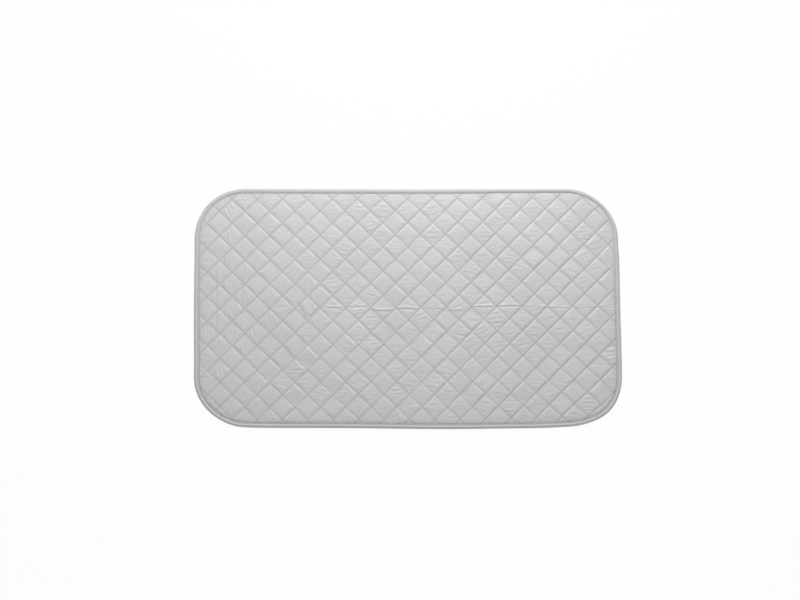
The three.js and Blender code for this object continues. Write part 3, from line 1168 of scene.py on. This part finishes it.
def sewn_piece(name, runs, pitch, length, seed):
    """Stitches along runs of points; a run whose ends meet is sewn all the way round."""
    mesh = bpy.data.meshes.new(name + "_lines")
    points, edges = [], []
    for run, closed in runs:
        first = len(points)
        points.extend(map(tuple, run))
        edges.extend((number, number + 1) for number in range(first, len(points) - 1))
        if closed:
            edges.append((len(points) - 1, first))
    mesh.from_pydata(points, edges, [])
    piece = added(name, mesh)
    rows = piece.modifiers.new("stitches", "NODES")
    rows.node_group = stitch_rows
    given = {
        "Stitch Pitch": pitch,
        "Stitch Length": length,
        "Thread Width": THREAD_WIDTH,
        "Seed": seed,
        "Thread": quilting_thread,
    }
    for socket in stitch_rows.interface.items_tree:
        if socket.in_out == "INPUT" and socket.name in given:
            rows[socket.identifier] = given[socket.name]
    settle_modifiers(piece)
    return piece


def seam_runs(across, along, points, underside):
    """Runs of points down every seam of one family: on the cover first, then in the channels below."""
    runs = []
    on_seam = (seam_distance(across) < ON_SEAM) & (inset_at(cover_x, cover_y) > ROW_END_INSET)
    for number in np.unique(np.round(across[on_seam])):
        row = np.nonzero(on_seam & (np.round(across) == number))[0]
        row = row[np.argsort(along[row])]
        if len(row) >= LEAST_ROW_POINTS:
            above = points[row] + (0, 0, NEEDLE_LIFT)
            below = points[row].copy()
            below[:, 2] = underside[row] - BOBBIN_DROP
            runs += [(above, False), (below, False)]
    return runs


# Satin twisted thread. Its plies show as fine slanting stripes: a bump, and painted shade that darkens the
# colour between them.
quilting_thread = fresh_material("quilting_thread")
tree = quilting_thread.node_tree
thread_map = place(tree, "ShaderNodeUVMap", uv_map="thread")
wound = place(tree, "ShaderNodeSeparateXYZ", {0: thread_map.outputs[0]})
slant = math_node(tree, "MULTIPLY", wound.outputs[0], PLIES_ROUND)
slant = math_node(tree, "MULTIPLY_ADD", wound.outputs[1], PLIES_ALONG, slant)
plies = math_node(tree, "SINE", math_node(tree, "MULTIPLY", slant, 2 * math.pi))
plies = math_node(tree, "MULTIPLY_ADD", plies, 0.5, 0.5)
surfaced(
    tree,
    {
        "Base Color": tinted(tree, THREAD_COLOUR, plies, amount=0.18),
        "Roughness": 0.55,
        "Sheen Weight": 0.2,
        "Normal": bumped(tree, plies, strength=0.6, distance=THREAD_RELIEF),
    },
)

stitch_rows = stitch_tree()
stitched_underside = backing_underside(cover_lattice)
for family, across, along, seed in (
    ("falling", cover_lattice["falling"], cover_lattice["rising"], 3),
    ("rising", cover_lattice["rising"], cover_lattice["falling"], 5),
):
    runs = seam_runs(across, along, sewn_points, stitched_underside)
    name = "quilting_thread_" + family
    thread = sewn_piece(name, runs, STITCH_PITCH, STITCH_LENGTH, seed)
    dressed(thread, quilting_thread, "thread", name + "_rear", name + "_front")


# Edge binding.
# A woven tape, about 10 mm wide once folded in half, laid over the raw edges of the layers and sewn through.
# It runs all the way round in one piece, rolls softly over the edge, and varies a little in width.
TAPE_SEED = 11
TAPE_STATION = 1.0 * MM
TAPE_WIDTH = 10 * MM
TAPE_STITCH_INSET = 8.9 * MM
TAPE_STITCH_PITCH = 4.0 * MM
STITCH_DENT = 0.2 * MM
STITCH_DENT_BELOW = 0.06 * MM
STITCH_DENT_REACH = 1.3 * MM
STITCH_DRAW = 0.12 * MM
DRIFT_PARTS = 9
DRIFT_SPREAD = 4
NARROWER_REAR = 0.05
NARROWER_REAR_RIGHT = 0.16
NARROWER_FRONT = 0.12
TAPE_RIGHT_SPAN = (0.05, 0.25)
TAPE_REAR_SPAN = (0.10, 0.22)
TAPE_FRONT_SPAN = (0.10, 0.20)
WIDTH_DRIFT = 0.03
FULLNESS_DRIFT = 0.04
FULLNESS_RIPPLE = 0.03
SQUARED_REAR = 0.6
TAPE_SIDE = 1.0 * MM
TAPE_TOP = 1.2 * MM
ROLL_BASE = 1.7 * MM
ROLL_SPAN = (4.2 * MM, 5.2 * MM)
LIFT_SPAN = (5 * MM, 8.6 * MM)
TAPE_RELIEF = 0.1 * MM
TAPE_COLOUR = (0.515, 0.515, 0.52)
# The folded tape cut across, in mm: how far in from the pad's edge, and how high. The points run from its
# upper inner edge over the outside to the lower one, and back along the inside.
TAPE_SECTION = (
    (10.2, 1.85), (10.3, 2.05), (10.15, 2.2), (9.8, 2.2), (9.4, 2.0), (8.9, 1.5), (8.4, 2.0), (7.6, 2.9),
    (6.6, 3.9), (5.8, 4.5), (5.0, 4.75), (4.3, 4.6), (3.5, 4.05), (2.7, 3.25), (1.9, 2.4), (1.2, 1.65),
    (0.6, 1.1), (0.25, 0.7), (0.5, 0.22), (2.0, 0.0), (7.4, 0.0), (9.0, 0.28), (9.7, 0.02), (10.1, 0.02),
    (10.25, 0.14), (10.1, 0.28), (9.0, 0.44), (5.0, 0.3), (2.6, 0.35), (1.7, 0.75), (2.1, 1.4), (3.0, 2.5),
    (4.1, 3.7), (5.0, 4.25), (6.2, 3.4), (7.4, 2.35), (8.4, 1.5), (8.9, 1.35), (9.5, 1.65),
)


edge_places, edge_outward, edge_along, edge_length = outline_stations(TAPE_STATION)
stitch_count = round(edge_length / TAPE_STITCH_PITCH)
stitch_turn = 2 * math.pi * stitch_count * edge_along / edge_length
tape_luck = np.random.default_rng(TAPE_SEED)


def edge_drift(waves):
    """An uneven drift round the edge, mostly from -1 to 1, that meets itself where it began."""
    total = np.zeros(len(edge_along))
    for _ in range(DRIFT_PARTS):
        turns = tape_luck.integers(waves // 3, waves)
        total += np.sin(2 * math.pi * (turns * edge_along / edge_length + tape_luck.random()))
    return total / DRIFT_SPREAD


edge_x, edge_y = edge_places[:, 0], edge_places[:, 1]
at_rear = smooth_step(edge_y, *TAPE_REAR_SPAN)
tape_width = 1 - NARROWER_REAR * edge_y / half_depth
tape_width -= NARROWER_REAR_RIGHT * smooth_step(edge_x, *TAPE_RIGHT_SPAN) * at_rear
tape_width -= NARROWER_FRONT * smooth_step(-edge_y, *TAPE_FRONT_SPAN)
tape_width = tape_width * (1 - WIDTH_DRIFT) + WIDTH_DRIFT * edge_drift(waves=60)
tape_fullness = 1 + FULLNESS_DRIFT * edge_drift(waves=90) + FULLNESS_RIPPLE * edge_drift(waves=400)
tape_squared = SQUARED_REAR * at_rear
tape_lift = (COVER_RIM_TOP_REAR - COVER_RIM_TOP) * smooth_step(edge_y, *RIM_RISE_SPAN)
pull = 0.5 + 0.5 * np.cos(stitch_turn)
section = np.array(TAPE_SECTION) * MM
tape_points = np.empty((len(edge_places), len(section), 3))
for corner, (inset, height) in enumerate(section):
    near_stitch = math.exp(-(((inset - TAPE_STITCH_INSET) / STITCH_DENT_REACH) ** 2))
    in_from_edge = inset * (1 + (tape_width - 1) * inset / TAPE_WIDTH)
    in_from_edge += STITCH_DRAW * near_stitch * (pull - 0.5)
    if height > TAPE_SIDE:
        in_from_edge *= 1 - tape_squared * (1 - smooth_step(inset, *ROLL_SPAN))
    tape_points[:, corner, :2] = edge_places - edge_outward * in_from_edge[:, None]
    if height > TAPE_TOP:
        raised = tape_lift * smooth_step(inset, *LIFT_SPAN)
        rolled = np.maximum(height - ROLL_BASE, 0) * (1 - tape_fullness)
        tape_points[:, corner, 2] = height - rolled + raised - STITCH_DENT * near_stitch * pull
    else:
        tape_points[:, corner, 2] = height + STITCH_DENT_BELOW * near_stitch * pull * (inset < TAPE_WIDTH)

rings, ring_size = tape_points.shape[:2]
ring = np.arange(rings)[:, None]
spot = np.arange(ring_size)[None, :]
next_spot = (spot + 1) % ring_size
here, ahead = ring * ring_size, (ring + 1) % rings * ring_size
tape_corners = (here + spot, here + next_spot, ahead + next_spot, ahead + spot)
tape_faces = np.stack(tape_corners, axis=-1).reshape(-1, 4)
tape_mesh = bpy.data.meshes.new("edge_binding")
tape_mesh.from_pydata(tape_points.reshape(-1, 3).tolist(), [], tape_faces.tolist())
section_steps = np.linalg.norm(np.diff(section, axis=0, append=section[:1]), axis=1)
section_along = np.concatenate([[0], np.cumsum(section_steps)])
corner_u = np.stack([ring + 0 * spot] * 2 + [ring + 1 + 0 * spot] * 2, axis=-1) / rings
near_v, far_v = 0 * ring + section_along[spot], 0 * ring + section_along[spot + 1]
corner_v = np.stack([near_v, far_v, far_v, near_v], axis=-1)
tape_uv = np.stack([corner_u, corner_v / section_along[-1]], axis=-1).astype(np.float32)
tape_mesh.uv_layers.new(name="tape").data.foreach_set("uv", tape_uv.ravel())
tape_mesh.shade_smooth()
edge_binding = added("edge_binding", tape_mesh)

binding_tape = fresh_material("binding_tape")
tree = binding_tape.node_tree
tape_map = place(tree, "ShaderNodeUVMap", uv_map="tape")
tape_size = (edge_length, section_along[-1], 1)
where = place(tree, "ShaderNodeMapping", {0: tape_map.outputs[0], "Scale": tape_size}).outputs[0]
weave = woven(tree, where, threads=2000.0, slub=0.6)
# The tape's tone: a soft drift, with the weave's painted shade between the threads.
tone = mixed(tree, noise(tree, where, scale=30.0, detail=2.0), weave.outputs["Shade"], share=0.5)
surfaced(
    tree,
    {
        "Base Color": tinted(tree, TAPE_COLOUR, tone, amount=0.12),
        "Roughness": 0.6,
        "Specular IOR Level": 0.25,
        "Sheen Weight": 0.15,
        "Normal": bumped(tree, weave.outputs["Height"], strength=0.6, distance=TAPE_RELIEF),
    },
)
dressed(edge_binding, binding_tape, "binding_tape", "edge_binding_rear", "edge_binding_front")


# Binding stitches.
# One row of the same grey thread through the tape and all the layers, near the tape's inner edge, all the way
# round. It shows as a dotted line on the top and on the underside.
TAPE_STITCH_LENGTH = 3.4 * MM
UPPER_STITCH_LIFT = 0.14 * MM
LOWER_STITCH_LIFT = 0.05 * MM
UPPER_SPOT = 5
LOWER_SPOT = 21
ROW_STRIDE = 4


def tape_row(spot, lift):
    """The line of stitches along one place of the tape's section."""
    return tape_points[::ROW_STRIDE, spot] + (0, 0, lift)


binding_runs = [
    (tape_row(UPPER_SPOT, UPPER_STITCH_LIFT), True),
    (tape_row(LOWER_SPOT, LOWER_STITCH_LIFT), True),
]
binding_thread = sewn_piece("binding_thread", binding_runs, TAPE_STITCH_PITCH, TAPE_STITCH_LENGTH, seed=9)
dressed(binding_thread, quilting_thread, "thread", "binding_thread_rear", "binding_thread_front")
